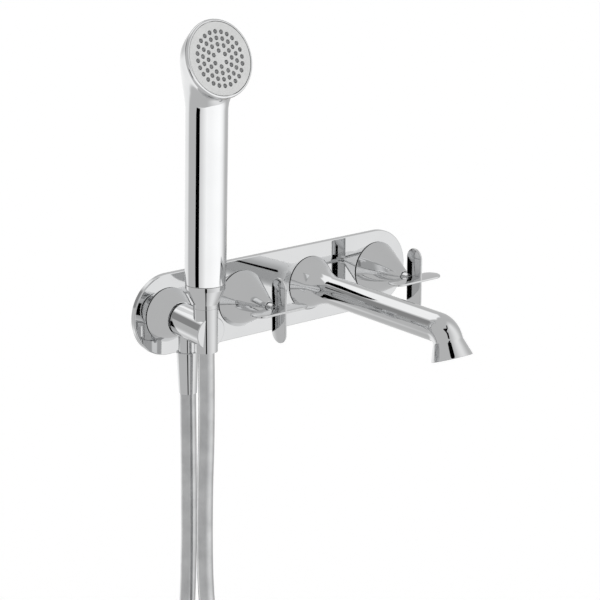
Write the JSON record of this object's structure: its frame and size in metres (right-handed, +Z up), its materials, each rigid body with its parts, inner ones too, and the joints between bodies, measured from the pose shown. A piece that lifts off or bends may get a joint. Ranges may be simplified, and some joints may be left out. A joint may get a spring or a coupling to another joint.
{
  "type": "wall mounted bath faucet",
  "caption": "Wall mounted bath and shower faucet with cover plate, cross handles, long spout, and a hand shower on a hanging hose in a fixed holder.",
  "frame": {"origin": "on the finished wall face, at the centre of the cover plate", "axes": "+X to the right along the plate, +Y into the wall, +Z up; the spout and handles point along -Y"},
  "size_m": [0.3633, 0.2518, 0.8459],
  "materials": {
    "polished_chrome": "mirror-polished chrome plate",
    "raw_brass": "as cast and machined",
    "black_rubber": "moulded",
    "grey_silicone": "moulded silicone",
    "satin_grey": "satin silver-grey",
    "white_plastic": "moulded acetal",
    "hose_silver": "smooth silver sleeve",
    "stainless": "turned"
  },
  "bodies": {
    "root": {"wall_plate": "polished_chrome", "plate_gasket": "black_rubber", "inwall_body": "raw_brass", "outlet_nipple": "raw_brass", "outlet_cone_seal": "black_rubber", "outlet_cone": "polished_chrome", "outlet_neck_ring": "polished_chrome", "holder_arm": "polished_chrome", "hose_outlet_stub": "polished_chrome", "check_valve": "white_plastic", "outlet_hose_nut": "polished_chrome", "outlet_hose_washer": "black_rubber", "outlet_hose_tail": "raw_brass", "holder_cup": "polished_chrome", "cup_liner": "white_plastic", "spout_seal": "black_rubber", "spout_body": "polished_chrome", "spout_nipple": "raw_brass", "spout_o_ring": "black_rubber", "aerator_housing": "polished_chrome", "aerator_screen": "white_plastic", "aerator_washer": "black_rubber", "shower_hose": "hose_silver", "left_cartridge": "raw_brass", "left_cartridge_nut": "raw_brass", "left_cone_seal": "black_rubber", "left_handle_cone": "polished_chrome", "right_cartridge": "raw_brass", "right_cartridge_nut": "raw_brass", "right_cone_seal": "black_rubber", "right_handle_cone": "polished_chrome"},
    "left_handle": {"left_spindle": "raw_brass", "left_handle_hub": "polished_chrome", "left_grub_screw": "stainless", "left_vertical_blade": "polished_chrome", "left_horizontal_blade": "polished_chrome"},
    "right_handle": {"right_spindle": "raw_brass", "right_handle_hub": "polished_chrome", "right_grub_screw": "stainless", "right_vertical_blade": "polished_chrome", "right_horizontal_blade": "polished_chrome"},
    "hose_end": {"hose_end_tail": "raw_brass"},
    "handset": {"handset_shell": "polished_chrome", "handset_waterway": "white_plastic", "handset_connector": "raw_brass", "handset_hose_nut": "polished_chrome", "handset_hose_washer": "black_rubber", "spray_chamber": "white_plastic", "spray_face_plate": "satin_grey", "nozzle_mat": "grey_silicone", "spray_seal_ring": "black_rubber"}
  },
  "joints": [
    {"name": "left_handle_turn", "type": "hinge", "parent": "root", "child": "left_handle", "pos_m": [-0.04, -0.05, 0], "axis": [0, 1, 0], "range_deg": [-90, 90]},
    {"name": "right_handle_turn", "type": "hinge", "parent": "root", "child": "right_handle", "pos_m": [0.12, -0.05, 0], "axis": [0, 1, 0], "range_deg": [-90, 90]},
    {"name": "handset_lift", "type": "slide", "parent": "root", "child": "hose_end", "axis": [0, 0, 1], "range_m": [0, 0.06]},
    {"name": "handset_swivel", "type": "hinge", "parent": "hose_end", "child": "handset", "pos_m": [-0.12, -0.05685, 0], "axis": [0, 0, 1], "continuous": true}
  ]
}
